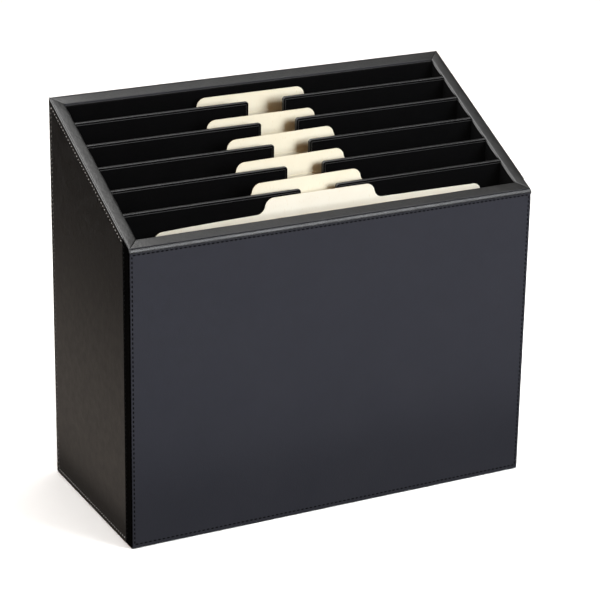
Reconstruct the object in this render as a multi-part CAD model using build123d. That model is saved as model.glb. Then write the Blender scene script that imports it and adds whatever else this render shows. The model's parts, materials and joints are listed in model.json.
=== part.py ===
"""Desk file sorter: a leather-covered box with a sloping mouth, stepped rows and letter-size folders.

All sizes are millimetres.  +X runs along the width, +Y from the front to the back, +Z up.
The origin is the middle of the underside.  Rows and dividers are numbered from the front.
"""
from build123d import *
import math
import os

# Driving dimensions of the case
WIDTH = 362.0
DEPTH = 163.0
FRONT_HEIGHT = 255.0
BACK_HEIGHT = 333.0
BOARD = 7.5                  # wall and base boards
LEATHER = 1.25               # outer covers
PANEL = 2.0                  # lining panels on the inside of the walls
FELT = 1.5                   # pad under the base
COVER_LIFT = 0.5             # the covers end this far above the table
CORNER_ROUND = 1.5           # radius of the front's upright edges
RETURN = 12.5                # how far the front cover runs back along the sides
COVER_DROP = 0.3             # the covers end this far below the rim's face
RIM_THICK = 2.0
RIM_WIDTH = 9.0              # measured on the slope

# Driving dimensions of the rows
ROWS = 6
DIVIDER_SETBACK = 34.7       # outer front face to the first divider
DIVIDER_PITCH = 24.4
DIVIDER_THICK = 3.0
DIVIDER_DROP = 0.4
NOTCH_WIDTH = 32.0
NOTCH_DEPTH = 40.0
NOTCH_LIP_RADIUS = 2.6
NOTCH_FLOOR_RADIUS = 6.0
BINDING_THICK = 0.5          # leather strip over a divider's top edge and notch
BINDING_WIDTH = 2.5          # how far that strip comes down each face
TREAD_THICK = 6.0
FIRST_STEP = 26.7            # height that the front folder stands on
STEP_RISE = 10.6

# Letter-size folder of 18-point card
FOLDER_WIDTH = 298.5
FOLDER_HEIGHT = 241.3
TAB_WIDTH = FOLDER_WIDTH / 3
TAB_HEIGHT = 12.6
TAB_SLANT = 15.0             # width of each curved side of the tab
FLAP_DROP = 5.0              # the front leaf is this much lower than the back leaf's shoulders
CARD = 0.45
FOLD_GAP = 0.9               # between the two leaves at the fold
FLAP_CLEARANCE = 0.15        # between the front leaf and what it turns or rests against
FLAP_SPARE = 0.4             # left between an open front leaf and the divider ahead of it
FRONT_FOLDER_CURL = 9.0      # room left for the ends of the front folder, which curl forward in use
SHOULDER_RADIUS = 6.5
HEEL_RADIUS = 3.0
# Sideways place of each folder, and its back leaf's distance from the divider or wall ahead of it
FOLDER_PLACES = [(0.6, 22.7), (-6.8, 3.6), (-9.3, 3.4), (-4.3, 6.5), (-11.0, 7.1), (-6.8, 12.0)]

# Brads that hold the boards together
BRAD_RADIUS = 0.7
BRAD_LENGTH = 25.0
BRAD_INSET = 35.0            # from a board's end to the first brad

# Worked out from the driving dimensions
FRONT = -DEPTH / 2
BACK = DEPTH / 2
HALF = WIDTH / 2
SLOPE = (BACK_HEIGHT - FRONT_HEIGHT) / DEPTH
SLOPE_ANGLE = math.atan(SLOPE)
SKIN_X = HALF - LEATHER                     # outer face of the side boards
CORE_X = SKIN_X - BOARD                     # inner face of the side boards
INSIDE_X = CORE_X - PANEL                   # inner face of the side spacers
SKIN_FRONT = FRONT + LEATHER
SKIN_BACK = BACK - LEATHER
SEAM_Y = SKIN_FRONT + BOARD                 # where the front board ends and the side boards start
RETURN_Y = FRONT + RETURN                   # where the front cover ends and the side covers start
INNER_BACK = SKIN_BACK - BOARD
INSIDE_FRONT = SEAM_Y + PANEL
INSIDE_BACK = INNER_BACK - PANEL
BASE_TOP = FELT + BOARD
RIM_WIDTH_Y = RIM_WIDTH * math.cos(SLOPE_ANGLE)
RIM_INNER_X = SKIN_X - RIM_WIDTH
SHOULDER_HEIGHT = FOLDER_HEIGHT - TAB_HEIGHT
TALL = BACK_HEIGHT + 20.0                   # height of the blanks that the slope cuts


def slope_z(y):
    """Height of the sloping mouth at a given Y."""
    return FRONT_HEIGHT + SLOPE * (y - FRONT)


def block(x0, x1, y0, y1, z0, z1):
    """A box between two corners."""
    middle = ((x0 + x1) / 2, (y0 + y1) / 2, (z0 + z1) / 2)
    return Pos(*middle) * Box(x1 - x0, y1 - y0, z1 - z0)


def plan_area(x0, x1, y0, y1):
    """A rectangle in plan between two corners."""
    return Pos((x0 + x1) / 2, (y0 + y1) / 2) * Rectangle(x1 - x0, y1 - y0)


def upright(plan, z0, z1):
    """A plan outline raised between two heights."""
    return extrude(Pos(0, 0, z0) * plan, z1 - z0)


def under_slope(drop):
    """Everything below the mouth's plane, lowered by a distance square to that plane."""
    lower = drop / math.cos(SLOPE_ANGLE)
    y0 = FRONT - 1.0
    y1 = BACK + 1.0
    corners = [(y0, -1.0), (y1, -1.0), (y1, slope_z(y1) - lower), (y0, slope_z(y0) - lower)]
    profile = make_face(Polyline(*corners, close=True))
    return extrude(Plane.YZ * profile, WIDTH, both=True)


def rounded_plan(skin, back_y):
    """Plan from the front back to a given Y, with rounded front corners, a thickness inside the skin."""
    half_width = HALF - skin
    sheet = plan_area(-half_width, half_width, FRONT + skin, back_y)
    return fillet(sheet.vertices().group_by(Axis.Y)[0], CORNER_ROUND - skin)


# Rows and dividers

def divider_front(number):
    """Y of a divider's front face, counted from 1 at the front."""
    return FRONT + DIVIDER_SETBACK + DIVIDER_PITCH * (number - 1)


def row_front(row):
    """Y where a row's space starts."""
    return INSIDE_FRONT if row == 1 else divider_front(row - 1) + DIVIDER_THICK


def row_back(row):
    """Y where a row's space ends."""
    return INSIDE_BACK if row == ROWS else divider_front(row)


def step_height(row):
    """Height of the tread that a row's folder stands on."""
    return FIRST_STEP + STEP_RISE * (row - 1)


def divider_top(number):
    return slope_z(divider_front(number)) - DIVIDER_DROP


# Brads: each is a point on a face and the direction it is driven in

def spaced(low, high, count):
    """Evenly spaced places, with the first and last a brad inset away from the ends."""
    first = low + BRAD_INSET
    last = high - BRAD_INSET
    return [first + (last - first) * i / (count - 1) for i in range(count)]


def brad_places():
    places = []
    side_x = CORE_X + BOARD / 2
    base_z = FELT + BOARD / 2
    back_y = INNER_BACK + BOARD / 2
    for side in (-1, 1):
        for z in spaced(0, FRONT_HEIGHT, 4):
            places.append(((side * side_x, SKIN_FRONT, z), (0, 1, 0)))
        for z in spaced(0, BACK_HEIGHT, 4):
            places.append(((side * SKIN_X, back_y, z), (-side, 0, 0)))
        for y in spaced(SEAM_Y, INNER_BACK, 3):
            places.append(((side * SKIN_X, y, base_z), (-side, 0, 0)))
    for x in spaced(-CORE_X, CORE_X, 4):
        places.append(((x, SKIN_FRONT, base_z), (0, 1, 0)))
        places.append(((x, SKIN_BACK, base_z), (0, -1, 0)))
    return places


def brad(place):
    point, direction = place
    return extrude(Plane(point, z_dir=direction) * Circle(BRAD_RADIUS), BRAD_LENGTH)


BRADS = [brad(place) for place in brad_places()]


def drilled(board):
    """The board with a hole for each brad that reaches it."""
    box = board.bounding_box()
    for pin in BRADS:
        pin_box = pin.bounding_box()
        apart = any(
            getattr(pin_box.max, axis) <= getattr(box.min, axis)
            or getattr(pin_box.min, axis) >= getattr(box.max, axis)
            for axis in "XYZ"
        )
        if not apart:
            board = board - pin
    return board


# Boards of the case

def front_board():
    blank = upright(rounded_plan(LEATHER, SEAM_Y), FELT, TALL)
    return drilled(blank & under_slope(RIM_THICK))


def side_board(side):
    x0, x1 = sorted((side * CORE_X, side * SKIN_X))
    blank = block(x0, x1, SEAM_Y, SKIN_BACK, FELT, TALL)
    return drilled(blank & under_slope(RIM_THICK))


def back_board():
    blank = block(-CORE_X, CORE_X, INNER_BACK, SKIN_BACK, FELT, TALL)
    return drilled(blank & under_slope(RIM_THICK))


def base_board():
    return drilled(block(-CORE_X, CORE_X, SEAM_Y, INNER_BACK, FELT, BASE_TOP))


def base_felt():
    return upright(rounded_plan(LEATHER, SKIN_BACK), 0, FELT)


# Leather covers

def front_cover():
    ring = rounded_plan(0, RETURN_Y) - rounded_plan(LEATHER, RETURN_Y)
    return upright(ring, COVER_LIFT, TALL) & under_slope(COVER_DROP)


def side_cover(side):
    x0, x1 = sorted((side * SKIN_X, side * HALF))
    return block(x0, x1, RETURN_Y, BACK, COVER_LIFT, TALL) & under_slope(COVER_DROP)


def back_cover():
    return block(-SKIN_X, SKIN_X, SKIN_BACK, BACK, COVER_LIFT, TALL) & under_slope(COVER_DROP)


# Rim: four strips mitred at the corners, lying in the sloping plane of the mouth

def rim_strips():
    outer = [(-SKIN_X, SKIN_FRONT), (SKIN_X, SKIN_FRONT), (SKIN_X, SKIN_BACK), (-SKIN_X, SKIN_BACK)]
    y0 = SKIN_FRONT + RIM_WIDTH_Y
    y1 = SKIN_BACK - RIM_WIDTH_Y
    inner = [(-RIM_INNER_X, y0), (RIM_INNER_X, y0), (RIM_INNER_X, y1), (-RIM_INNER_X, y1)]
    names = ["front_rim", "right_rim", "back_rim", "left_rim"]
    layer = under_slope(0) - under_slope(RIM_THICK)
    layer &= upright(rounded_plan(LEATHER, SKIN_BACK), FELT, TALL)
    strips = {}
    for i, name in enumerate(names):
        j = (i + 1) % len(names)
        plan = make_face(Polyline(outer[i], outer[j], inner[j], inner[i], close=True))
        strips[name] = upright(plan, FELT, TALL) & layer
    return strips


# Lining

def wall_panel(y0, y1):
    """Lining panel on the front or back wall."""
    return block(-CORE_X, CORE_X, y0, y1, BASE_TOP, TALL) & under_slope(RIM_THICK)


def side_spacer(side, row):
    """Lined panel on a side wall, which holds the end of the divider next to it."""
    x0, x1 = sorted((side * INSIDE_X, side * CORE_X))
    return block(x0, x1, row_front(row), row_back(row), BASE_TOP, TALL) & under_slope(RIM_THICK)


def step_tread(row):
    top = step_height(row)
    return block(-INSIDE_X, INSIDE_X, row_front(row), row_back(row), top - TREAD_THICK, top)


# Dividers

def divider_outline(top):
    """Front view of a divider with its finger notch, and the same outline run on past its other edges."""
    spare = 2 * NOTCH_DEPTH
    notch = Pos(0, top - NOTCH_DEPTH / 2) * Rectangle(NOTCH_WIDTH, NOTCH_DEPTH)
    notch = fillet(notch.vertices().group_by(Axis.Y)[0], NOTCH_FLOOR_RADIUS)
    wide = plan_area(-CORE_X - spare, CORE_X + spare, BASE_TOP - spare, top) - notch
    lips = [v for v in wide.vertices() if abs(v.X) < NOTCH_WIDTH and abs(v.Y - top) < BINDING_THICK]
    wide = fillet(lips, NOTCH_LIP_RADIUS)
    return plan_area(-CORE_X, CORE_X, BASE_TOP, top) & wide, wide


def slab(outline, y_middle, thick):
    """A front-view outline given a thickness about a plane of constant Y."""
    return extrude(Plane.XZ.offset(-y_middle) * outline, thick / 2, both=True)


def divider(number):
    """The lined board and the leather strip that wraps its top edge and notch."""
    top = divider_top(number)
    middle = divider_front(number) + DIVIDER_THICK / 2
    outline, wide = divider_outline(top)
    core = outline & offset(wide, -BINDING_THICK, kind=Kind.INTERSECTION)
    lined = outline & offset(wide, -BINDING_WIDTH, kind=Kind.INTERSECTION)
    core_board = slab(core, middle, DIVIDER_THICK - 2 * BINDING_THICK)
    board = core_board + slab(lined, middle, DIVIDER_THICK)
    strip = slab(outline - lined, middle, DIVIDER_THICK) - core_board
    between_rims = block(-RIM_INNER_X, RIM_INNER_X, FRONT, BACK, 0, TALL)
    board &= between_rims + under_slope(RIM_THICK)
    return board, strip & between_rims


# Folders

def tab_outline():
    """Tab with S-curved sides on the shoulders of the back leaf."""
    foot = (-(TAB_WIDTH + TAB_SLANT) / 2, SHOULDER_HEIGHT)
    middle = (-TAB_WIDTH / 2, SHOULDER_HEIGHT + TAB_HEIGHT / 2)
    crest = (-(TAB_WIDTH - TAB_SLANT) / 2, FOLDER_HEIGHT)
    left = [TangentArc(foot, middle, tangent=(1, 0)), TangentArc(crest, middle, tangent=(-1, 0))]
    right = [mirror(arc, Plane.YZ) for arc in left]
    top = Line(crest, (-crest[0], crest[1]))
    bottom = Line(foot, (-foot[0], foot[1]))
    return make_face([*left, *right, top, bottom])


def leaf_outline(bottom, top):
    sheet = Pos(0, (bottom + top) / 2) * Rectangle(FOLDER_WIDTH, top - bottom)
    sheet = fillet(sheet.vertices().group_by(Axis.Y)[-1], SHOULDER_RADIUS)
    return fillet(sheet.vertices().group_by(Axis.Y)[0], HEEL_RADIUS)


def back_leaf():
    """Back leaf with the tab, and the narrow fold under it that the front leaf turns on."""
    sheet = slab(leaf_outline(0, SHOULDER_HEIGHT) + tab_outline(), CARD / 2, CARD)
    half_fold = FOLDER_WIDTH / 2 - HEEL_RADIUS
    return sheet + block(-half_fold, half_fold, -FOLD_GAP - CARD, 0, 0, CARD)


FLAP_AXIS_Y = -FOLD_GAP - CARD / 2
FLAP_AXIS_Z = CARD + FLAP_CLEARANCE + CARD / 2
FLAP_TOP = SHOULDER_HEIGHT - FLAP_DROP
# At rest the front leaf leans back until it nearly meets the back leaf
FLAP_LEAN = math.degrees(math.atan((FOLD_GAP - FLAP_CLEARANCE) / (FLAP_TOP - FLAP_AXIS_Z)))


def front_leaf():
    """Front leaf, with a rounded lower edge about the line that it turns on."""
    half_fold = FOLDER_WIDTH / 2 - HEEL_RADIUS
    sheet = slab(leaf_outline(FLAP_AXIS_Z, FLAP_TOP), FLAP_AXIS_Y, CARD)
    edge = Pos(0, FLAP_AXIS_Y, FLAP_AXIS_Z) * Rot(0, 90, 0) * Cylinder(CARD / 2, 2 * half_fold)
    axis = Axis((0, FLAP_AXIS_Y, FLAP_AXIS_Z), (1, 0, 0))
    return (sheet + edge).rotate(axis, -FLAP_LEAN)


def folder_place(row):
    x, setback = FOLDER_PLACES[row - 1]
    return x, row_front(row) + setback, step_height(row)


def flap_swing(row):
    """How far, in degrees, the front leaf opens before it meets what stands ahead of it."""
    y = folder_place(row)[1]
    spare = FLAP_SPARE + (FRONT_FOLDER_CURL if row == 1 else 0)
    room = y + FLAP_AXIS_Y - CARD / 2 - row_front(row) - spare
    return math.degrees(math.atan(room / (FLAP_TOP - FLAP_AXIS_Z))) + FLAP_LEAN


def write(node, shape):
    """Write one sub-part to its own file."""
    shape.label = node
    export_step(shape, f"parts/{node}.step")


def main():
    os.makedirs("parts", exist_ok=True)
    write("front_board", front_board())
    write("back_board", back_board())
    write("base_board", base_board())
    write("base_felt", base_felt())
    write("front_cover", front_cover())
    write("back_cover", back_cover())
    write("front_lining", wall_panel(SEAM_Y, INSIDE_FRONT))
    write("back_lining", wall_panel(INSIDE_BACK, INNER_BACK))
    write("board_brads", Compound(children=BRADS))
    for name, strip in rim_strips().items():
        write(name, strip)
    for side, name in ((-1, "left"), (1, "right")):
        write(f"{name}_side_board", side_board(side))
        write(f"{name}_cover", side_cover(side))
        for row in range(1, ROWS + 1):
            write(f"{name}_spacer_{row}", side_spacer(side, row))
    for number in range(1, ROWS):
        board, strip = divider(number)
        write(f"divider_{number}_board", board)
        write(f"divider_{number}_binding", strip)
    for row in range(1, ROWS + 1):
        place = folder_place(row)
        write(f"step_tread_{row}", step_tread(row))
        write(f"folder_{row}_back_leaf", Pos(*place) * back_leaf())
        write(f"folder_{row}_front_leaf", Pos(*place) * front_leaf())
        axis_y = place[1] + FLAP_AXIS_Y
        axis_z = place[2] + FLAP_AXIS_Z
        print(f"folder {row}: x {place[0]:.2f}, fold line y {axis_y:.3f} z {axis_z:.3f}, "
              f"front leaf opens {flap_swing(row):.2f} degrees")


main()
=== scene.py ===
"""Looks of the desk file sorter: stitched leather covers, bound dividers and bowed manila folders.

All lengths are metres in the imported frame: +X along the width, +Y from front to back, +Z up.
"""
import bpy
import bmesh
import json
import math
import random
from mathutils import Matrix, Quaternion, Vector


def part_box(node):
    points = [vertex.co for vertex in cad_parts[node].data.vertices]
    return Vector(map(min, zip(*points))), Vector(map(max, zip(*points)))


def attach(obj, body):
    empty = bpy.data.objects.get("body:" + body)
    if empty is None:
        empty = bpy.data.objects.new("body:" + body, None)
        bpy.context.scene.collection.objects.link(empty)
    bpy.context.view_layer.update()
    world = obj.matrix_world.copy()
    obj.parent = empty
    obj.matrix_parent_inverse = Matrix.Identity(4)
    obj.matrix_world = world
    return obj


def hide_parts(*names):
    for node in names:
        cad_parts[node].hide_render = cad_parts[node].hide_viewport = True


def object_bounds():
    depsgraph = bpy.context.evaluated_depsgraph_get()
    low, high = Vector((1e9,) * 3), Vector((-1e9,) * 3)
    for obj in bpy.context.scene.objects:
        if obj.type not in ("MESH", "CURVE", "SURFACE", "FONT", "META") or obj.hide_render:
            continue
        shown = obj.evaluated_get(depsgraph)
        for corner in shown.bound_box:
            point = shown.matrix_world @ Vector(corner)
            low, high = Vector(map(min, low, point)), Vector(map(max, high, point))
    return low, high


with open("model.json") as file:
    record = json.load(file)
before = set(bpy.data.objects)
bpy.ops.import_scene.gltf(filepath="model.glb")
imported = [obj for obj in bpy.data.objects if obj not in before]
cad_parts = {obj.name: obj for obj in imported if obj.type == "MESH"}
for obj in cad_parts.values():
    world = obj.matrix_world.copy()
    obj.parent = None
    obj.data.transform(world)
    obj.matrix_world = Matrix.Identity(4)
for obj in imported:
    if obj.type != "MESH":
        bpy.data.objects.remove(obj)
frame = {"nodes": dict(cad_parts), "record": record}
cad_low, cad_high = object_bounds()
scene = bpy.context.scene
MM = 0.001

# ---------------------------------------------------------------- places read from the frame

HALF = cad_high.x
FRONT = cad_low.y
BACK = cad_high.y
SKIN_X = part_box("right_side_board")[1].x
SKIN_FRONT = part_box("front_board")[0].y
SKIN_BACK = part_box("back_board")[1].y
SEAM_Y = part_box("right_cover")[0].y
COVER_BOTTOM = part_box("front_cover")[0].z
LEATHER_THICK = HALF - SKIN_X
RIM_INNER_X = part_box("divider_1_binding")[1].x
RIM_FRONT_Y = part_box("front_rim")[1].y
RIM_FRONT_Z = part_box("front_rim")[1].z
RIM_BACK_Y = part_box("back_rim")[0].y
SLOPE = (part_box("left_rim")[1].z - RIM_FRONT_Z) / (SKIN_BACK - RIM_FRONT_Y)
SLOPE_COS = math.cos(math.atan(SLOPE))
SLOPE_NORMAL = Vector((0, -SLOPE, 1)).normalized()
ROWS = 6

# ---------------------------------------------------------------- sizes of the finish

CORNER_ROUND = 1.5 * MM        # radius of the front's upright edges
COVER_DROP = 0.3 * MM          # the covers end this far below the rim's face
FACE_SINK = 0.15 * MM          # the covers' flat faces lie this far inside the box's skin
EDGE_ROLL = 0.45 * MM          # radius of a cover's rolled edge
DEEPEST = 0.1 * MM - LEATHER_THICK    # a rolled edge leaves this much of the leather

RIM_THICK = 2 * MM
RIM_DROP = RIM_THICK / SLOPE_COS      # the same, measured plumb
RIM_OUTER_ROUND = 0.5 * MM
RIM_INNER_ROUND = 0.9 * MM
RIM_CROWN = 0.12 * MM
MITRE_DIP = 0.45 * MM          # depth of the seam at a mitre
MITRE_REACH = 0.9 * MM         # the face starts to fall this far from the mitre

STITCH_INSET = 4.2 * MM        # from a cover's edge to its row of stitches
FOOT_SHIFT = 0.8 * MM          # the rows along the bottom lie this much nearer their edge
CORNER_STITCH = 2.6 * MM       # from the box's side to the upright rows on the front
RETURN_STITCH = 2.4 * MM       # from the seam to the stitches on the front's returns
SEAM_STITCH = 1.5 * MM         # from the seam to the side covers' first stitch
STITCHED_HALF = HALF - CORNER_STITCH + STITCH_INSET    # the front's upright margins start here
STITCH_PITCH = 3.9 * MM
STITCH_LENGTH = 2.6 * MM
STITCH_SWAY = 0.05 * MM        # most that a stitch's ends stray from its row
THREAD_RADIUS = 0.48 * MM
GROOVE_DEPTH = 0.1 * MM        # the groove that the stitches pull into the leather
GROOVE_HALF = 0.7 * MM
GROOVE_LEVEL = -FACE_SINK - GROOVE_DEPTH
MARGIN_CROWN = 0.15 * MM       # crown between a cover's edge and its groove

BEAD_RISE = 0.6 * MM           # crest of the bead along the front's top, over the flat face
BEAD_FALL = 1.4 * MM           # from that crest back to the top edge
BEAD_CREST = 3.6 * MM          # from the top edge down to that crest
BEAD_FOOT = 0.35 * MM          # the stitches under the bead lie this much further down
BEAD_POWER = 1.8               # how sharply the bead turns back at its top

BINDING_WIDTH = 2.5 * MM       # from a divider's edge down its faces
BINDING_SKIN = 0.5 * MM
BINDING_NOSE = 0.7 * MM        # radius of a binding's edge
WELT = 0.2 * MM                # height of the welt along a binding's foot, and width of its crest
WELT_TUCK = 0.05 * MM
NOTCH_HALF = 16 * MM
NOTCH_DEPTH = 40 * MM
NOTCH_LIP = 2.6 * MM           # radius of the notch's two upper corners
NOTCH_FLOOR = 6 * MM           # radius of its two lower corners

PANEL_DROP = 0.9 * MM          # the side panels end this far below the rim's face
PANEL_RECESS = 0.4 * MM        # their edges lie this far back towards the wall
PANEL_PADDING = 0.7 * MM       # their middles stand this far out from their edges
PANEL_ROUND = 0.9 * MM         # radius along a panel's top
TURNED = 1.1 * MM              # leather turned over the side panels' tops

CARD = 0.45 * MM
FOLD_THICK = 0.84 * CARD       # the card is pressed thinner along its fold
FOLD_GAP = 0.9 * MM            # between a folder's leaves at their fold
TOP_GAP = 0.15 * MM            # between them at their tops
TAB_SLANT = 15 * MM            # run of each slanted side of a tab
TAB_HEIGHT = 12.6 * MM
SHOULDER_ROUND = 6.5 * MM      # radius of a leaf's upper corners
HEEL_ROUND = 3 * MM            # radius of its lower corners
FLAP_DROP = 5 * MM             # the front leaf ends this far below the back leaf's shoulders
BOW_POWER = 1.5                # a card's bow grows with this power of its height

CARDS_REACH = 3.0              # how far the studio's cards reach over the floor
CARDS_LEVEL = 0.5 * MM         # their height over it


def mouth_z(y):
    """Height of the sloping mouth at a given Y."""
    return RIM_FRONT_Z + SLOPE * (y - RIM_FRONT_Y)


# ---------------------------------------------------------------- material nodes

class Nodes:
    """A node tree with short calls for the nodes that the finishes and the world share."""

    def __init__(self, tree, place):
        self.tree = tree
        self.place = tree.nodes.new("ShaderNodeTexCoord").outputs[place]

    def link(self, source, socket):
        self.tree.links.new(source, socket)

    def stretched(self, scale):
        node = self.tree.nodes.new("ShaderNodeMapping")
        node.inputs["Scale"].default_value = scale
        self.link(self.place, node.inputs["Vector"])
        return node.outputs["Vector"]

    def noise(self, scale, detail=3, place=None):
        node = self.tree.nodes.new("ShaderNodeTexNoise")
        node.inputs["Scale"].default_value = scale
        node.inputs["Detail"].default_value = detail
        self.link(place or self.place, node.inputs["Vector"])
        return node.outputs["Fac"]

    def cells(self, scale):
        node = self.tree.nodes.new("ShaderNodeTexVoronoi")
        node.feature = "SMOOTH_F1"
        node.inputs["Scale"].default_value = scale
        self.link(self.place, node.inputs["Vector"])
        return node.outputs["Distance"]

    def edges(self):
        """1 on a convex edge, 0 elsewhere."""
        node = self.tree.nodes.new("ShaderNodeNewGeometry")
        return self.spread(node.outputs["Pointiness"], 0.53, 0.62, 0, 1)

    def spread(self, value, low, high, out_low, out_high):
        node = self.tree.nodes.new("ShaderNodeMapRange")
        self.link(value, node.inputs["Value"])
        ends = {"From Min": low, "From Max": high, "To Min": out_low, "To Max": out_high}
        for name, number in ends.items():
            node.inputs[name].default_value = number
        return node.outputs["Result"]

    def mix(self, factor, first, second):
        """A colour between two others, each given as a colour or as a socket."""
        node = self.tree.nodes.new("ShaderNodeMix")
        node.data_type = "RGBA"
        self.link(factor, node.inputs["Factor"])
        for socket, value in ((node.inputs[6], first), (node.inputs[7], second)):
            if isinstance(value, tuple):
                socket.default_value = (*value, 1)
            else:
                self.link(value, socket)
        return node.outputs[2]

    def add(self, first, second, weight):
        node = self.tree.nodes.new("ShaderNodeMath")
        node.operation = "MULTIPLY_ADD"
        self.link(second, node.inputs[0])
        node.inputs[1].default_value = weight
        self.link(first, node.inputs[2])
        return node.outputs[0]


class Shader(Nodes):
    """The node tree of a new material."""

    def __init__(self, name):
        self.material = bpy.data.materials.new(name)
        self.material.use_nodes = True
        super().__init__(self.material.node_tree, "Object")
        self.surface = self.tree.nodes["Principled BSDF"]

    def set(self, **values):
        for name, value in values.items():
            self.surface.inputs[name.replace("_", " ")].default_value = value

    def bump(self, height, distance, strength):
        node = self.tree.nodes.new("ShaderNodeBump")
        node.inputs["Strength"].default_value = strength
        node.inputs["Distance"].default_value = distance
        self.link(height, node.inputs["Height"])
        self.link(node.outputs["Normal"], self.surface.inputs["Normal"])

    def colour(self, socket):
        self.link(socket, self.surface.inputs["Base Color"])

    def roughness(self, socket):
        self.link(socket, self.surface.inputs["Roughness"])


def leather_finish(name, dark, light, worn, smooth, rough, shine=0.45, mottle=1.5):
    """Satin black leather: pebbled grain, cloudy colour and edges rubbed lighter."""
    shader = Shader(name)
    clouds = shader.spread(shader.noise(22, 4), 0.3, 0.7, 0, 1)
    base = shader.mix(clouds, dark, light)
    shader.colour(shader.mix(shader.edges(), base, worn))
    shader.roughness(shader.spread(shader.noise(140, 5), 0.3, 0.7, smooth, rough))
    pebbles = shader.cells(1150)
    grain = shader.add(pebbles, shader.noise(2600, 2), 0.5)
    grain = shader.add(grain, shader.noise(300, 2), mottle)
    grain = shader.add(grain, shader.noise(45, 2), 0.5)
    shader.bump(grain, 0.09 * MM, 0.6)
    shader.set(Specular_IOR_Level=shine)
    return shader.material


def lining_finish():
    """Black lining cloth with a short nap that hardly shines."""
    shader = Shader("lining")
    clouds = shader.noise(60, 4)
    shader.colour(shader.mix(clouds, (0.0008, 0.0008, 0.0009), (0.0018, 0.0018, 0.002)))
    shader.roughness(shader.spread(shader.noise(900, 3), 0.3, 0.7, 0.85, 1.0))
    nap = shader.noise(2200, 4, shader.stretched((1, 1, 0.25)))
    shader.bump(nap, 0.2 * MM, 0.7)
    shader.set(Specular_IOR_Level=0.05)
    return shader.material


def manila_finish(name, dark, light):
    """Cream card with faint clouds and darker fibres."""
    shader = Shader(name)
    clouds = shader.spread(shader.noise(35, 4), 0.3, 0.7, 0, 1)
    base = shader.mix(clouds, dark, light)
    fibres = shader.noise(900, 5, shader.stretched((1, 1, 0.3)))
    flecks = shader.spread(fibres, 0.62, 0.75, 0, 0.35)
    shader.colour(shader.mix(flecks, base, (0.68, 0.53, 0.33)))
    shader.roughness(shader.spread(shader.noise(300, 3), 0.3, 0.7, 0.55, 0.75))
    shader.bump(fibres, 0.05 * MM, 0.5)
    shader.set(Specular_IOR_Level=0.05)
    return shader.material


def felt_finish():
    """Black felt: matted fibres."""
    shader = Shader("felt")
    clumps = shader.noise(420, 6)
    shader.colour(shader.mix(clumps, (0.008, 0.008, 0.008), (0.03, 0.03, 0.03)))
    shader.roughness(shader.spread(clumps, 0.3, 0.7, 0.9, 1.0))
    shader.bump(shader.add(clumps, shader.noise(1900, 4), 0.6), 0.5 * MM, 0.8)
    shader.set(Specular_IOR_Level=0.1, Sheen_Weight=0.15, Sheen_Roughness=0.5)
    return shader.material


def board_finish():
    """Bare fibreboard: pressed brown fibres."""
    shader = Shader("board")
    fibres = shader.noise(700, 6, shader.stretched((1, 1, 0.35)))
    shader.colour(shader.mix(fibres, (0.30, 0.20, 0.11), (0.52, 0.38, 0.24)))
    shader.roughness(shader.spread(fibres, 0.3, 0.7, 0.7, 0.9))
    shader.bump(fibres, 0.15 * MM, 0.6)
    return shader.material


def brad_finish():
    """Drawn steel wire with fine scratches along it."""
    shader = Shader("brads")
    scratches = shader.noise(3000, 4, shader.stretched((1, 0.1, 1)))
    shader.colour(shader.mix(scratches, (0.42, 0.42, 0.43), (0.66, 0.66, 0.67)))
    shader.roughness(shader.spread(scratches, 0.3, 0.7, 0.25, 0.45))
    shader.bump(scratches, 0.02 * MM, 0.5)
    shader.set(Metallic=1.0)
    return shader.material


def thread_finish(name, dark, light, shine):
    """Thread with its two plies showing."""
    shader = Shader(name)
    plies = shader.noise(1500, 2)
    shader.colour(shader.mix(plies, dark, light))
    shader.roughness(shader.spread(plies, 0.3, 0.7, 0.5, 0.65))
    shader.bump(plies, 0.1 * MM, 0.7)
    shader.set(Specular_IOR_Level=shine)
    return shader.material


def floor_finish():
    """Matt white floor with the faintest clouds."""
    shader = Shader("floor")
    clouds = shader.noise(3, 2)
    shader.colour(shader.mix(clouds, (0.90, 0.90, 0.90), (0.92, 0.92, 0.92)))
    shader.roughness(shader.spread(clouds, 0.3, 0.7, 0.8, 0.9))
    shader.set(Specular_IOR_Level=0.1)
    return shader.material


LEATHER = leather_finish(
    "leather", (0.0015, 0.0015, 0.0018), (0.003, 0.003, 0.0034), (0.012, 0.012, 0.013), 0.28, 0.38)
TRIM = leather_finish(
    "trim_leather", (0.004, 0.004, 0.004), (0.007, 0.0068, 0.0066), (0.02, 0.0195, 0.019), 0.32, 0.42,
    mottle=4)
# Painted shade: a near-black, all but shineless copy of the leather, put on the front's returns and on the
# bindings' flat faces, where the leather lies in shade and mirrors nothing bright.
PAINTED_SHADE_LEATHER = leather_finish(
    "painted_shade_leather", (0.0008, 0.0008, 0.0008), (0.0016, 0.0016, 0.0016), (0.003, 0.003, 0.003), 0.45, 0.6,
    shine=0.003)
LINING = lining_finish()
# One card in two copies: the folders behind the front row get painted shade, a darker and more saturated
# cream; the front row's folder gets painted light, a paler and whiter cream.
MANILA = manila_finish("manila", (0.80, 0.74, 0.60), (0.84, 0.79, 0.655))
PAINTED_LIGHT_MANILA = manila_finish("painted_light_manila", (0.84, 0.785, 0.68), (0.88, 0.835, 0.74))
THREAD = thread_finish("thread", (0.001, 0.001, 0.001), (0.004, 0.004, 0.0042), 0.05)
# Painted light: a lighter, glossier copy of the black thread for the side covers, so that their stitches
# show as light dots.
PAINTED_LIGHT_THREAD = thread_finish("painted_light_thread", (0.05, 0.046, 0.042), (0.10, 0.092, 0.085), 0.9)


# ---------------------------------------------------------------- mesh helpers

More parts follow.
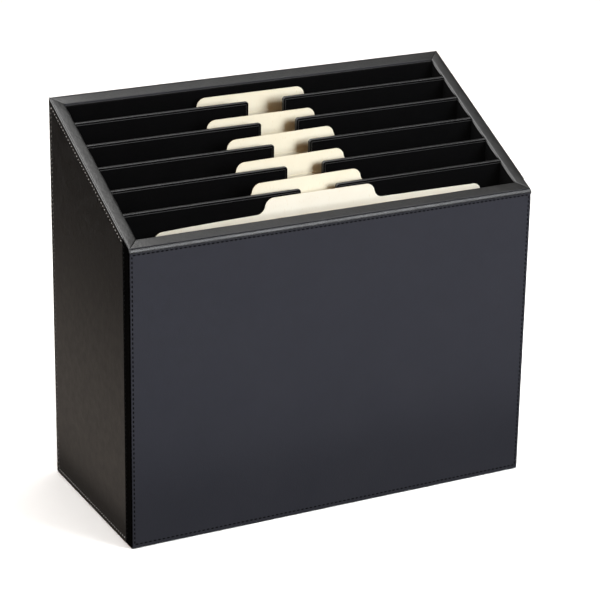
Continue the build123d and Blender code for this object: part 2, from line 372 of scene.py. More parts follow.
def add_piece(name, points, faces, materials, body, stands_for=(), face_kinds=None, crease=40):
    """Make a closed mesh piece that rides on a body and stands for its CAD nodes."""
    mesh = bpy.data.meshes.new(name)
    mesh.from_pydata([tuple(p) for p in points], [], faces)
    for material in materials:
        mesh.materials.append(material)
    if face_kinds:
        mesh.polygons.foreach_set("material_index", face_kinds)
    cleaner = bmesh.new()
    cleaner.from_mesh(mesh)
    bmesh.ops.recalc_face_normals(cleaner, faces=cleaner.faces)
    cleaner.to_mesh(mesh)
    cleaner.free()
    mesh.polygons.foreach_set("use_smooth", [True] * len(mesh.polygons))
    mesh.set_sharp_from_angle(angle=math.radians(crease))
    piece = bpy.data.objects.new(name, mesh)
    scene.collection.objects.link(piece)
    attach(piece, body)
    if stands_for:
        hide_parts(*stands_for)
    return piece


def tube_faces(rings, count):
    """Faces of a closed tube whose points run ring after ring, count points to a ring."""
    faces = []
    for k in range(rings - 1):
        for m in range(count):
            n = (m + 1) % count
            faces.append((k * count + m, k * count + n, (k + 1) * count + n, (k + 1) * count + m))
    faces.append(tuple(range(count)))
    last = (rings - 1) * count
    faces.append(tuple(range(last, last + count)))
    return faces


def joined(meshes):
    """One mesh from several, each given as points and faces."""
    points = []
    faces = []
    for new_points, new_faces in meshes:
        offset = len(points)
        points += new_points
        faces += [tuple(v + offset for v in face) for face in new_faces]
    return points, faces


def spaced(low, high, count):
    """Evenly spaced numbers with both ends included."""
    return [low + (high - low) * i / (count - 1) for i in range(count)]


def quarter(count):
    """Evenly spaced angles through a quarter turn."""
    return spaced(0, math.pi / 2, count)


def fine_to_coarse():
    """Distances from an edge, close together over the rolled edge and the groove."""
    roll = [EDGE_ROLL * (1 - math.cos(phi)) for phi in quarter(7)]
    crown = spaced(roll[-1], STITCH_INSET - 1.5 * GROOVE_HALF, 6)[1:]
    dip = spaced(STITCH_INSET - 1.5 * GROOVE_HALF, STITCH_INSET + 1.5 * GROOVE_HALF, 10)[1:]
    return roll + crown + dip + [dip[-1] + 1.2 * MM, dip[-1] + 4 * MM]


FRINGE = fine_to_coarse()
BEAD_END = FRINGE[-2]          # the bead has died out this far below the front's top edge


def lattice(low, high, middle):
    """Places from low to high, with the fine fringe at both ends."""
    inner = spaced(low + FRINGE[-1], high - FRINGE[-1], middle)[1:-1]
    return [low + d for d in FRINGE] + inner + [high - d for d in reversed(FRINGE)]


def rolled(distance):
    """Lift of a rolled edge: nothing inside, falling away in a quarter round at the edge."""
    if distance >= EDGE_ROLL:
        return 0
    run = EDGE_ROLL - max(distance, 0)
    return math.sqrt(EDGE_ROLL ** 2 - run ** 2) - EDGE_ROLL


def groove(distance):
    """Lift of the shallow groove that the stitches pull into the leather."""
    return -GROOVE_DEPTH * math.exp(-((distance - STITCH_INSET) / GROOVE_HALF) ** 2)


def smooth(t):
    """0 to 1 with a level start and end."""
    t = min(max(t, 0), 1)
    return t * t * (3 - 2 * t)


def stitched(distance):
    """Lift of a margin: a slight crown between the edge and the stitches' groove."""
    crown = MARGIN_CROWN * math.sin(math.pi * min(max(distance / STITCH_INSET, 0), 1))
    return groove(distance) + crown


def beaded(distance):
    """Lift of the front's top margin: a broad bead that leans back towards the rim."""
    if distance < BEAD_CREST:
        return BEAD_RISE - BEAD_FALL * (1 - distance / BEAD_CREST) ** BEAD_POWER
    fall = smooth((distance - BEAD_CREST) / (STITCH_INSET - BEAD_CREST))
    return groove(distance) + BEAD_RISE * (1 - fall)


# ---------------------------------------------------------------- walls: covers and lined panels

class Column:
    """One upright line of a wall: its place and outward normal in plan, and its top's height.

    A cover's line also knows how far it is from the cover's upright end, and from the edge that the
    cover's upright stitches follow.
    """

    def __init__(self, x, y, normal, top, end=0, stitch=0):
        self.x = x
        self.y = y
        self.normal = normal
        self.top = top
        self.end = end
        self.stitch = stitch

    def point(self, z, lift):
        return Vector((self.x + self.normal[0] * lift, self.y + self.normal[1] * lift, z))


def row_heights(column, bottom, square):
    """Heights up a column, with each one's distance from the bottom and, square to the edge, the top."""
    low = [(bottom + d, d, (column.top - bottom - d) * square) for d in FRINGE]
    high = [(column.top - d / square, column.top - d / square - bottom, d) for d in reversed(FRINGE)]
    inner = []
    for z in spaced(low[-1][0], high[0][0], 8)[1:-1]:
        inner.append((z, z - bottom, (column.top - z) * square))
    return low + inner + high


def wall_mesh(columns, bottom, square, depth, lift):
    """Closed mesh of a wall: the outer face row by row, and a plain back at the given depth.

    A plumb distance below the top edge, times square, is the distance measured square to that edge.
    """
    points = []
    for column in columns:
        heights = row_heights(column, bottom, square)
        for z, from_bottom, from_top in heights:
            points.append(column.point(z, lift(column, from_bottom, from_top)))
        points.append(column.point(column.top, -depth))
        points.append(column.point(bottom, -depth))
    return points, tube_faces(len(columns), len(heights) + 2)


def cover_lift(column, from_bottom, from_top):
    """Lift of a stitched cover over the box's skin."""
    edge = min(column.end, from_bottom, from_top)
    margin = min(column.stitch, from_bottom + FOOT_SHIFT, from_top)
    return max(rolled(edge) + stitched(margin) - FACE_SINK, DEEPEST)


def front_lift(column, from_bottom, from_top):
    """The same for the front cover, whose top margin is a bead."""
    if from_top > BEAD_END:
        return cover_lift(column, from_bottom, from_top)
    edge = min(column.end, from_bottom)
    return max(rolled(edge) + beaded(from_top) - FACE_SINK, DEEPEST)


# ---------------------------------------------------------------- stitches

def thread(start, end, normal):
    """One stitch: a bent tube whose middle stands proud, and whose thinner ends dive into the leather."""
    along = end - start
    side = normal.cross(along).normalized()
    sides = 6
    stations = 6
    points = []
    for t in spaced(0, 1, stations):
        arch = math.sin(math.pi * t)
        centre = start + along * t + normal * (1.1 * arch - 0.75) * THREAD_RADIUS
        radius = (0.75 + 0.25 * arch) * THREAD_RADIUS
        for k in range(sides):
            angle = math.tau * k / sides
            points.append(centre + (side * math.cos(angle) + normal * math.sin(angle)) * radius)
    return points, tube_faces(stations, sides)


def stitch_row(corners, normals, rng):
    """Stitches along a line with corners, and with an outward normal for each stretch of it."""
    stitches = []
    for start, end, normal in zip(corners, corners[1:], normals):
        run = end - start
        count = max(1, round(run.length / STITCH_PITCH))
        step = run / count
        for n in range(count):
            middle = start + step * (n + 0.5)
            sway = normal.cross(run).normalized() * rng.uniform(-1, 1) * STITCH_SWAY
            half = run.normalized() * STITCH_LENGTH / 2 * rng.uniform(0.94, 1.04)
            stitches.append(thread(middle - half + sway, middle + half - sway, normal))
    return joined(stitches)


def add_stitches(name, runs, seed, finish=THREAD):
    """One thread piece made of several stitched runs: (corner points, a normal for each stretch)."""
    rng = random.Random(seed)
    points, faces = joined(stitch_row(corners, normals, rng) for corners, normals in runs)
    return add_piece(name, points, faces, [finish], "case", crease=60)


def stitched_frame(half, y, low, high, facing):
    """A stitched run round the front or the back, which faces towards -Y or +Y."""
    corners = [(-half, low), (half, low), (half, high), (-half, high), (-half, low)]
    return [Vector((x, y, z)) for x, z in corners], [Vector((0, facing, 0))] * 4


# ---------------------------------------------------------------- covers

def cover_top(y):
    """Height of a cover's top edge at a given Y."""
    return mouth_z(y) - COVER_DROP / SLOPE_COS


def front_columns():
    """Plan of the front cover: a flat face, a small radius and a flat return to the seam at each end."""
    flat = HALF - CORNER_ROUND
    centre_y = FRONT + CORNER_ROUND
    length = math.pi / 2 * CORNER_ROUND + SEAM_Y - centre_y
    right = []
    for x in lattice(-STITCHED_HALF, STITCHED_HALF, 14):
        if 0 <= x < flat:
            end = length + flat - x
            right.append(Column(x, FRONT, Vector((0, -1)), cover_top(FRONT), end, STITCHED_HALF - x))
    for phi in quarter(10):
        x = flat + CORNER_ROUND * math.sin(phi)
        y = centre_y - CORNER_ROUND * math.cos(phi)
        normal = Vector((math.sin(phi), -math.cos(phi)))
        right.append(Column(x, y, normal, cover_top(y), length - phi * CORNER_ROUND, STITCHED_HALF - x))
    plain = spaced(centre_y, SEAM_Y - FRINGE[-1], 6)[1:-1]
    for y in plain + [SEAM_Y - d for d in reversed(FRINGE)]:
        stitch = max(STITCHED_HALF - HALF - (y - centre_y), 0)
        right.append(Column(HALF, y, Vector((1, 0)), cover_top(y), SEAM_Y - y, stitch))
    left = []
    for c in reversed(right):
        if c.x > 0:
            left.append(Column(-c.x, c.y, Vector((-c.normal.x, c.normal.y)), c.top, c.end, c.stitch))
    return left + right


def front_cover():
    """Front cover with its beaded top margin; its returns round both ends carry painted shade, the
    near-black shineless leather.
    """
    points, faces = wall_mesh(front_columns(), COVER_BOTTOM, 1.0, LEATHER_THICK, front_lift)
    turned = HALF - CORNER_ROUND / 2
    # faces on the returns take the painted-shade leather
    kinds = [1 if min(abs(points[i].x) for i in face) > turned else 0 for face in faces]
    materials = [LEATHER, PAINTED_SHADE_LEATHER]
    add_piece("front_cover_leather", points, faces, materials, "case", ["front_cover"], kinds)


def front_stitches():
    """The front's rectangle of stitches, and an upright row on each of its returns."""
    low = COVER_BOTTOM + STITCH_INSET - FOOT_SHIFT
    high = cover_top(FRONT) - STITCH_INSET - BEAD_FOOT
    runs = [stitched_frame(HALF - CORNER_STITCH, FRONT + FACE_SINK, low, high, -1)]
    y = SEAM_Y - RETURN_STITCH
    for side in (-1, 1):
        x = side * (HALF + GROOVE_LEVEL)
        ends = [Vector((x, y, low)), Vector((x, y, cover_top(y) - STITCH_INSET))]
        runs.append((ends, [Vector((side, 0, 0))]))
    add_stitches("front_stitches", runs, 1)


def side_cover(side, name):
    """Side cover: stitched along its bottom, back and sloping top, and tucked behind the front's return."""
    columns = []
    for y in lattice(SEAM_Y, BACK, 8):
        end = min(y - SEAM_Y, BACK - y)
        columns.append(Column(side * HALF, y, Vector((side, 0)), cover_top(y), end, BACK - y))
    points, faces = wall_mesh(columns, COVER_BOTTOM, SLOPE_COS, LEATHER_THICK, cover_lift)
    add_piece(f"{name}_cover_leather", points, faces, [LEATHER], "case", [f"{name}_cover"])


def side_stitches(side, name):
    """A side cover's stitches along its bottom, its back and its sloping top."""
    x = side * (HALF + GROOVE_LEVEL)
    low = COVER_BOTTOM + STITCH_INSET - FOOT_SHIFT
    drop = STITCH_INSET / SLOPE_COS
    front = SEAM_Y + SEAM_STITCH
    back = BACK - STITCH_INSET
    corners = [(front, low), (back, low), (back, cover_top(back) - drop), (front, cover_top(front) - drop)]
    points = [Vector((x, y, z)) for y, z in corners]
    # the side stitches take the painted-light copy of the thread
    add_stitches(f"{name}_stitches", [(points, [Vector((side, 0, 0))] * 3)], 2 + side, PAINTED_LIGHT_THREAD)


def back_cover():
    """Back cover, a flat rectangle between the side covers."""
    columns = []
    for x in lattice(-SKIN_X, SKIN_X, 12):
        end = SKIN_X - abs(x)
        columns.append(Column(x, BACK, Vector((0, 1)), cover_top(BACK), end, end))
    points, faces = wall_mesh(columns, COVER_BOTTOM, 1.0, LEATHER_THICK, cover_lift)
    add_piece("back_cover_leather", points, faces, [LEATHER], "case", ["back_cover"])


def back_stitches():
    """The back's rectangle of stitches."""
    low = COVER_BOTTOM + STITCH_INSET - FOOT_SHIFT
    high = cover_top(BACK) - STITCH_INSET
    run = stitched_frame(SKIN_X - STITCH_INSET, BACK + GROOVE_LEVEL, low, high, 1)
    add_stitches("back_stitches", [run], 7)


# ---------------------------------------------------------------- rim

def rim_section():
    """Section across a rim strip: (share of its width from the outer edge, height over the mouth)."""
    width = SKIN_X - RIM_INNER_X
    section = [(0, -RIM_THICK)]
    for phi in quarter(6):
        inward = RIM_OUTER_ROUND * (1 - math.cos(phi)) / width
        section.append((inward, RIM_OUTER_ROUND * (math.sin(phi) - 1)))
    for share in spaced(0.2, 0.8, 5):
        section.append((share, RIM_CROWN * math.sin(math.pi * share)))
    for phi in reversed(quarter(6)):
        outward = RIM_INNER_ROUND * (1 - math.cos(phi)) / width
        section.append((1 - outward, RIM_INNER_ROUND * (math.sin(phi) - 1)))
    section.append((1, -RIM_THICK))
    return section


def rim_corners():
    """The rim's outer corners and its inner ones in plan, from the front left round by the right."""
    outer = [(-SKIN_X, SKIN_FRONT), (SKIN_X, SKIN_FRONT), (SKIN_X, SKIN_BACK), (-SKIN_X, SKIN_BACK)]
    inner = [(-RIM_INNER_X, RIM_FRONT_Y), (RIM_INNER_X, RIM_FRONT_Y)]
    inner += [(RIM_INNER_X, RIM_BACK_Y), (-RIM_INNER_X, RIM_BACK_Y)]
    return [Vector(corner) for corner in outer], [Vector(corner) for corner in inner]


def rim_point(x, y, height, dip):
    """A point of the rim: its face is raised square to the slope, and its foot lies plumb below."""
    if height <= -RIM_THICK:
        return Vector((x, y, mouth_z(y) - RIM_DROP))
    return Vector((x, y, mouth_z(y))) + SLOPE_NORMAL * (height - dip)


def rim_strips():
    """The rim's four strips, which dip into a seam at each mitre."""
    outer, inner = rim_corners()
    section = rim_section()
    for i, name in enumerate(["front_rim", "right_rim", "back_rim", "left_rim"]):
        j = (i + 1) % 4
        length = (outer[j] - outer[i]).length
        near = [distance * MM / length for distance in (0, 0.15, 0.35, 0.6, 1.0)]
        shares = near + spaced(near[-1], 1 - near[-1], 14)[1:-1] + [1 - t for t in reversed(near)]
        points = []
        for t in shares:
            to_mitre = min(t, 1 - t) * length
            dip = MITRE_DIP * max(0, 1 - to_mitre / MITRE_REACH) ** 2
            for share, height in section:
                start = outer[i].lerp(inner[i], share)
                end = outer[j].lerp(inner[j], share)
                points.append(rim_point(*start.lerp(end, t), height, dip))
        faces = tube_faces(len(shares), len(section))
        add_piece(f"{name}_leather", points, faces, [TRIM], "case", [name])


# ---------------------------------------------------------------- dividers

def binding_section(thick):
    """Closed section of a binding, (depth below the edge, Y): a round nose, a flat face and a welt."""
    half = thick / 2
    foot = BINDING_WIDTH
    side = [(0, 0)]
    for phi in quarter(10):
        side.append((BINDING_NOSE * (1 - math.cos(phi)), half + BINDING_NOSE * (math.sin(phi) - 1)))
    side += [(foot - 3 * WELT, half), (foot - 2 * WELT, half + WELT)]
    side += [(foot - WELT, half + WELT), (foot, half - WELT_TUCK)]
    inside = [(foot, half - BINDING_SKIN), (BINDING_SKIN, half - BINDING_SKIN)]
    right = side + inside
    left = [(depth, -y) for depth, y in reversed(side[1:] + inside)]
    return right + left


def painted_shade_faces(section):
    """1 for the two stretches of a binding's section that are its flat faces, which take the painted-shade
    leather, 0 for the others.
    """
    face_start = BINDING_NOSE
    face_end = BINDING_WIDTH - 3 * WELT
    slack = 0.01 * MM
    kinds = []
    for start, end in zip(section, section[1:] + section[:1]):
        low, high = sorted((start[0], end[0]))
        flat = abs(low - face_start) < slack and abs(high - face_end) < slack
        kinds.append(1 if flat else 0)
    return kinds


def arc_points(centre, radius, start, end):
    """Points (x, z, bearing in radians) on an arc in a divider's plane, between two bearings in degrees."""
    found = []
    for phi in spaced(math.radians(start), math.radians(end), 7):
        found.append((centre[0] + radius * math.cos(phi), centre[1] + radius * math.sin(phi), phi))
    return found


def divider_edge(top):
    """The bound edge from left to right: (x, z, inward x, inward z), along the top and round the notch."""
    floor = top - NOTCH_DEPTH
    lip_x = NOTCH_HALF + NOTCH_LIP
    bend_x = NOTCH_HALF - NOTCH_FLOOR
    half = [(-RIM_INNER_X, top, 0, -1)]
    half += [(x, top, 0, -1) for x in spaced(-RIM_INNER_X, -lip_x, 12)[1:-1]]
    for x, z, phi in arc_points((-lip_x, top - NOTCH_LIP), NOTCH_LIP, 90, 0):
        half.append((x, z, -math.cos(phi), -math.sin(phi)))
    half += [(-NOTCH_HALF, z, -1, 0) for z in spaced(top - NOTCH_LIP, floor + NOTCH_FLOOR, 6)[1:-1]]
    for x, z, phi in arc_points((-bend_x, floor + NOTCH_FLOOR), NOTCH_FLOOR, 180, 270):
        half.append((x, z, math.cos(phi), math.sin(phi)))
    mirrored = [(-x, z, -nx, nz) for x, z, nx, nz in reversed(half)]
    return half + [(0, floor, 0, -1)] + mirrored


def divider_binding(number):
    """The leather strip that binds a divider's top edge and its notch."""
    node = f"divider_{number}_binding"
    low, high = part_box(node)
    middle = (low.y + high.y) / 2
    section = binding_section(high.y - low.y)
    edge = divider_edge(high.z)
    points = []
    for x, z, nx, nz in edge:
        for depth, y in section:
            points.append(Vector((x + nx * depth, middle + y, z + nz * depth)))
    faces = tube_faces(len(edge), len(section))
    # the binding's flat faces take painted shade: the near-black, shineless leather
    kinds = painted_shade_faces(section) * (len(edge) - 1) + [0, 0]
    materials = [TRIM, PAINTED_SHADE_LEATHER]
    add_piece(f"divider_{number}_edge", points, faces, materials, "case", [node], kinds)


# ---------------------------------------------------------------- lined panels

def lined_panel(node, columns, depth, bulge, turned=0):
    """A lined panel with a padded face; the top of a side panel has leather turned over it."""
    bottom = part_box(node)[0].z

    def lift(column, from_bottom, from_top):
        run = max(PANEL_ROUND - from_top, 0)
        return math.sqrt(PANEL_ROUND ** 2 - run ** 2) - PANEL_ROUND + bulge(column)

    square = SLOPE_COS if columns[0].top != columns[-1].top else 1.0
    points, faces = wall_mesh(columns, bottom, square, depth, lift)
    kinds = []
    for face in faces:
        below = max(mouth_z(points[i].y) - PANEL_DROP - points[i].z for i in face)
        kinds.append(1 if below < turned else 0)
    add_piece(f"{node}_cloth", points, faces, [LINING, TRIM], "case", [node], kinds)


def side_spacer(side, name, row):
    """A side wall's padded panel in one row."""
    node = f"{name}_spacer_{row}"
    low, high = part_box(node)
    x = (low.x if side > 0 else high.x) + side * PANEL_RECESS
    columns = []
    for y in spaced(low.y, high.y, 13):
        columns.append(Column(x, y, Vector((-side, 0)), mouth_z(y) - PANEL_DROP))
    middle = (low.y + high.y) / 2
    reach = (high.y - low.y) / 2

    def bulge(column):
        return PANEL_PADDING * (1 - ((column.y - middle) / reach) ** 2)

    lined_panel(node, columns, high.x - low.x - PANEL_RECESS, bulge, TURNED)


def end_lining(node, facing):
    """Lining of the front or back wall."""
    low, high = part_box(node)
    y = high.y if facing > 0 else low.y
    board_y = low.y if facing > 0 else high.y
    top = mouth_z(board_y) - RIM_DROP
    columns = [Column(x, y, Vector((0, facing)), top) for x in spaced(low.x, high.x, 25)]
    lined_panel(node, columns, high.y - low.y, lambda column: 0)


# ---------------------------------------------------------------- folders

def end_curl(left, right):
    """Forward curl of a card's ends, at a place that runs from -1 at its left end to 1 at its right."""
    return lambda u: -left * max(0, -u) ** 2 - right * max(0, u) ** 2


def back_step(rise):
    """A card whose right part stands further back than its left part, at a place counted the same way."""
    return lambda u: rise * smooth(u + 0.5)


# how each row's card is bowed, from the front row back
BOWS = [end_curl(8 * MM, 3 * MM), back_step(3 * MM), back_step(4 * MM)]
BOWS += [back_step(4 * MM), back_step(1 * MM), back_step(0)]


def tab_edge():
    """One slanted side of a tab from its foot inwards: (distance in, rise over the shoulder)."""
    run = TAB_SLANT / 2
    rise = TAB_HEIGHT / 2
    radius = (run ** 2 + rise ** 2) / (2 * rise)
    reach = math.asin(run / radius)
    lower = [(radius * math.sin(a), radius * (1 - math.cos(a))) for a in spaced(0, reach, 8)]
    upper = [(TAB_SLANT - x, TAB_HEIGHT - z) for x, z in reversed(lower[:-1])]
    return lower + upper


def corner_drop(distance, radius):
    """How far a rounded corner falls below the straight edge near its end."""
    run = max(radius - distance, 0)
    return radius - math.sqrt(max(radius ** 2 - run ** 2, 0))


def corner_places(radius):
    """Distances from an edge that follow a rounded corner evenly."""
    return [radius * (1 - math.cos(phi)) for phi in quarter(7)]


def leaf_columns(half, shoulder, with_tab):
    """Columns of a leaf: (x, bottom, top) from its left end to its right end."""
    xs = [-half + d for d in corner_places(SHOULDER_ROUND)]
    if with_tab:
        foot = (half * 2 / 3 + TAB_SLANT) / 2
        xs += spaced(xs[-1], -foot, 8)[1:-1]
        left = [(x, 0) for x in xs] + [(-foot + run, rise) for run, rise in tab_edge()]
        left += [(x, TAB_HEIGHT) for x in spaced(-foot + TAB_SLANT, 0, 7)[1:]]
    else:
        left = [(x, 0) for x in xs + spaced(xs[-1], 0, 16)[1:]]
    mirrored = [(-x, rise) for x, rise in reversed(left[:-1])]
    columns = []
    for x, rise in left + mirrored:
        to_end = half - abs(x)
        top = shoulder + rise - corner_drop(to_end, SHOULDER_ROUND)
        columns.append((x, corner_drop(to_end, HEEL_ROUND), top))
    return columns


def sheet_mesh(columns, rows, place):
    """Closed sheet of card from columns of (x, bottom, top); place gives a point on either face."""
    points = []
    for face_side in (-1, 1):
        for x, bottom, top in columns:
            for t in rows:
                points.append(place(x, bottom + (top - bottom) * t, face_side))
    per = len(rows)
    count = len(columns)
    back = per * count
    faces = []
    for i in range(count - 1):
        for j in range(per - 1):
            a = i * per + j
            faces.append((a, a + per, a + per + 1, a + 1))
            faces.append((back + a, back + a + 1, back + a + per + 1, back + a + per))
        for j in (0, per - 1):
            a = i * per + j
            faces.append((a, back + a, back + a + per, a + per))
    for i in (0, count - 1):
        for j in range(per - 1):
            a = i * per + j
            faces.append((a, a + 1, back + a + 1, back + a))
    return points, faces


def fold_strip(half, place):
    """The scored fold under a folder, a J-shaped section that joins the back leaf to the front leaf."""
    spine = [(-1.12, 0.55), (-1.06, 0.32), (-0.9, 0.24), (-0.5, 0.22)]
    spine += [(-0.1, 0.24), (0.1, 0.34), (0.2, 0.6)]
    front_side = []
    back_side = []
    for i, (y, z) in enumerate(spine):
        before = Vector(spine[max(i - 1, 0)])
        after = Vector(spine[min(i + 1, len(spine) - 1)])
        along = (after - before).normalized()
        out_y = -along.y * FOLD_THICK / 2
        out_z = along.x * FOLD_THICK / 2
        front_side.append((y * MM + out_y, z * MM + out_z))
        back_side.append((y * MM - out_y, z * MM - out_z))
    section = front_side + back_side[::-1]
    stations = spaced(-half, half, 20)
    points = [place + Vector((x, y, z)) for x in stations for y, z in section]
    return points, tube_faces(len(stations), len(section))


def folder(row):
    """Both leaves of a folder, bowed a little as used card is."""
    back_node = f"folder_{row}_back_leaf"
    front_node = f"folder_{row}_front_leaf"
    low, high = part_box(back_node)
    half = (high.x - low.x) / 2
    middle = (high.x + low.x) / 2
    plane = high.y - CARD / 2
    shoulder = high.z - low.z - TAB_HEIGHT
    bow = BOWS[row - 1]
    # the front folder takes the painted-light copy of the card, the others the painted-shade copy
    card = PAINTED_LIGHT_MANILA if row == 1 else MANILA
    rows = spaced(0, 1, 22)

    def back_place(x, z, face_side):
        y = plane + bow(x / half) * (z / shoulder) ** BOW_POWER + face_side * CARD / 2
        return Vector((middle + x, y, low.z + z))

    leaf = sheet_mesh(leaf_columns(half, shoulder, True), rows, back_place)
    fold = fold_strip(half - HEEL_ROUND, Vector((middle, high.y - CARD, low.z)))
    points, faces = joined([leaf, fold])
    add_piece(f"folder_{row}_back", points, faces, [card], f"folder_{row}", [back_node])

    axis_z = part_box(front_node)[0].z - low.z + CARD / 2
    flap_top = shoulder - FLAP_DROP

    def front_place(x, z, face_side):
        height = axis_z + z * (flap_top - axis_z) / flap_top
        gap = FOLD_GAP + (TOP_GAP - FOLD_GAP) * (height - axis_z) / (flap_top - axis_z)
        bowed = bow(x / half) * (height / shoulder) ** BOW_POWER
        return Vector((middle + x, plane - CARD - gap + bowed + face_side * CARD / 2, low.z + height))

    points, faces = sheet_mesh(leaf_columns(half, flap_top, False), rows, front_place)
    add_piece(f"folder_{row}_front", points, faces, [card], f"folder_{row}_front", [front_node])


# ---------------------------------------------------------------- carried-over CAD nodes

def finish_cad_nodes():
    """Give the CAD nodes that stay their own finishes."""
    finishes = {"board": board_finish(), "lining": LINING, "felt": felt_finish(), "brads": brad_finish()}
    slots = {part["node"]: part["material_slot"] for part in frame["record"]["subparts"]}
    for node, piece in frame["nodes"].items():
        finish = finishes.get(slots[node])
        if finish and not piece.hide_render:
            piece.data.materials.clear()
            piece.data.materials.append(finish)


# ---------------------------------------------------------------- studio

def card_finish(name, glow):
    """The glow of a studio card, with the faintest clouds."""
    shader = Shader(name)
    dim = tuple(0.97 * value for value in glow)
    shader.link(shader.mix(shader.noise(4), dim, glow), shader.surface.inputs["Emission Color"])
    shader.set(Base_Color=(0, 0, 0, 1), Specular_IOR_Level=0.0, Emission_Strength=1.0)
    return shader.material


def aim(item, target):
    """Turn a lamp to look at a point."""
    item.rotation_mode = "QUATERNION"
    item.rotation_quaternion = (target - item.location).to_track_quat("-Z", "Y")


def softbox(name, direction, distance, size, power, tint):
    """A rectangular area light that faces the box from a given direction."""
    light = bpy.data.lights.new(name, "AREA")
    light.shape = "RECTANGLE"
    light.size, light.size_y = size
    light.energy = power
    light.color = tint
    lamp = bpy.data.objects.new(name, light)
    target = Vector((0, 0, 0.15))
    lamp.location = target + Vector(direction).normalized() * distance
    aim(lamp, target)
    scene.collection.objects.link(lamp)
    return lamp


def floor():
    """A wide white floor that throws no light onto matt surfaces."""
    mesh = bpy.data.meshes.new("floor")
    reach = 30.0
    corners = [(-reach, -reach, 0), (reach, -reach, 0), (reach, reach, 0), (-reach, reach, 0)]
    mesh.from_pydata(corners, [], [(0, 1, 2, 3)])
    mesh.materials.append(floor_finish())
    ground = bpy.data.objects.new("floor", mesh)
    ground.visible_diffuse = False
    scene.collection.objects.link(ground)
    return ground


def studio_card(name, corners, glow, level):
    """A studio card lying just over the floor, which shows only in reflections."""
    mesh = bpy.data.meshes.new(name)
    mesh.from_pydata([(x, y, level) for x, y in corners], [], [tuple(range(len(corners)))])
    mesh.materials.append(card_finish(name, glow))
    card = bpy.data.objects.new(name, mesh)
    scene.collection.objects.link(card)
    card.visible_camera = False
    card.visible_diffuse = False
    card.visible_shadow = False
    card.visible_transmission = False


def wedge(corner, start, end):
    """Outline of a wedge from a corner, between two bearings in degrees from -Y towards -X."""
    bearings = spaced(math.radians(end), math.radians(start), 9)
    return [corner] + [corner + Vector((-math.sin(a), -math.cos(a))) * CARDS_REACH for a in bearings]


def studio_cards():
    """Cards on the floor that shape what the leather mirrors.

    They are black by the front left corner, warm along the left side, cool along the front and grey
    behind and on the right. A strip is (near edge, far edge, glow).
    """
    corner = Vector((-HALF, FRONT))
    black_from = 22
    black_to = 125
    black = (0.002, 0.002, 0.002)
    studio_card("corner_card", wedge(corner, black_from, black_to), black, 2 * CARDS_LEVEL)
    slant = math.tan(math.radians(black_to - 90))
    strips = [(0, 0.02, 0.12), (0.02, 0.08, 0.40), (0.08, 0.19, 0.37), (0.19, CARDS_REACH, 0.01)]
    for i, (near, far, glow) in enumerate(strips):
        foot = [(-HALF - d, FRONT + d * slant) for d in (near, far)]
        corners = foot + [(-HALF - far, CARDS_REACH), (-HALF - near, CARDS_REACH)]
        studio_card(f"side_card_{i}", corners, (glow, 0.87 * glow, 0.76 * glow), CARDS_LEVEL)
    slant = math.tan(math.radians(black_from))
    strips = [(0, 0.13, 0.64), (0.13, 0.35, 1.0), (0.35, CARDS_REACH, 1.16)]
    for i, (near, far, glow) in enumerate(strips):
        foot = [(-HALF - d * slant, FRONT - d) for d in (near, far)]
        corners = foot + [(CARDS_REACH, FRONT - far), (CARDS_REACH, FRONT - near)]
        studio_card(f"front_card_{i}", corners, (glow, 1.03 * glow, 1.3 * glow), CARDS_LEVEL)
    for name, left, right, front in (("right", HALF, CARDS_REACH, FRONT), ("back", -HALF, HALF, BACK)):
        corners = [(left, front), (right, front), (right, CARDS_REACH), (left, CARDS_REACH)]
        studio_card(f"{name}_card", corners, (0.34, 0.33, 0.33), CARDS_LEVEL)


def dome():
    """The world: white to the eye, dim and warm on matt surfaces, and in gloss a glow high on the left."""
    world = bpy.data.worlds.new("studio")
    world.use_nodes = True
    sky = Nodes(world.node_tree, "Generated")
    lean = sky.tree.nodes.new("ShaderNodeVectorMath")
    lean.operation = "DOT_PRODUCT"
    lean.inputs[1].default_value = (-0.8, 0, 1)
    sky.link(sky.place, lean.inputs[0])
    glow = sky.spread(lean.outputs["Value"], 0.35, 0.8, 0.12, 3.1)
    glow.node.interpolation_type = "SMOOTHSTEP"
    rays = sky.tree.nodes.new("ShaderNodeLightPath").outputs
    light = sky.mix(rays["Is Glossy Ray"], (0.30, 0.19, 0.10), glow)
    seen = sky.mix(rays["Is Camera Ray"], light, (1.1, 1.1, 1.1))
    sky.link(seen, sky.tree.nodes["Background"].inputs["Color"])
    scene.world = world


def only_for(lamp, item):
    """Let a lamp light one object and nothing else."""
    receivers = bpy.data.collections.new(f"{lamp.name}_receivers")
    receivers.objects.link(item)
    lamp.light_linking.receiver_collection = receivers


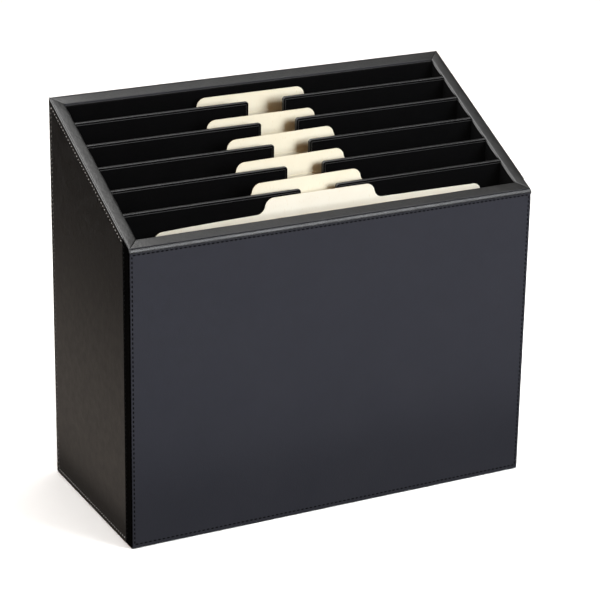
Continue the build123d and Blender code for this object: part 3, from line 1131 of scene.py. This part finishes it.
def studio(ground):
    """Lamps: the key lights matt surfaces, the wash the floor alone, and the others show only in gloss."""
    studio_cards()
    dome()
    # each lamp's direction, distance, size, power and tint
    key = softbox("key", (0.60, -0.75, 0.38), 2.0, (1.0, 1.0), 58, (0.93, 0.985, 1.0))
    key.visible_glossy = False
    wash = softbox("floor_wash", (0, 0, 1), 2.4, (3.0, 3.0), 130, (0.93, 0.97, 1.0))
    only_for(wash, ground)
    overhead = softbox("overhead", (-0.35, 0.05, 1.0), 2.2, (2.0, 2.0), 60, (1.0, 0.99, 0.97))
    gleam = softbox("gleam", (0.62, -1.45, 0.95), 2.2, (1.4, 0.5), 30, (0.95, 0.97, 1.0))
    rear = softbox("rear", (-0.66, 0.36, 0.64), 2.2, (0.8, 0.6), 12, (1.0, 1.0, 1.0))
    for lamp in (overhead, gleam, rear):
        lamp.visible_diffuse = False
    scene.view_settings.view_transform = "Standard"


def camera():
    """A long lens from the front left, a little above the mouth."""
    azimuth = math.radians(-27.338)
    elevation = math.radians(21.07)
    roll = math.radians(0.976)
    distance = 1.9807
    target = Vector((8.74 * MM, 0, 155.43 * MM))
    level = Vector((-math.sin(azimuth), math.cos(azimuth), 0))
    gaze = level * math.cos(elevation) - Vector((0, 0, math.sin(elevation)))
    lens = bpy.data.cameras.new("camera")
    lens.lens = 141.37
    lens.sensor_width = 36
    viewer = bpy.data.objects.new("camera", lens)
    viewer.location = target - gaze * distance
    viewer.rotation_mode = "QUATERNION"
    upright = gaze.to_track_quat("-Z", "Y")
    viewer.rotation_quaternion = Quaternion(gaze, -roll) @ upright
    scene.collection.objects.link(viewer)
    scene.camera = viewer


def build():
    """Every piece of the sorter."""
    front_cover()
    front_stitches()
    for side, name in ((-1, "left"), (1, "right")):
        side_cover(side, name)
        side_stitches(side, name)
        for row in range(1, ROWS + 1):
            side_spacer(side, name, row)
    back_cover()
    back_stitches()
    rim_strips()
    for number in range(1, ROWS):
        divider_binding(number)
    end_lining("front_lining", 1)
    end_lining("back_lining", -1)
    for row in range(1, ROWS + 1):
        folder(row)
    finish_cad_nodes()


camera()
build()
studio(floor())
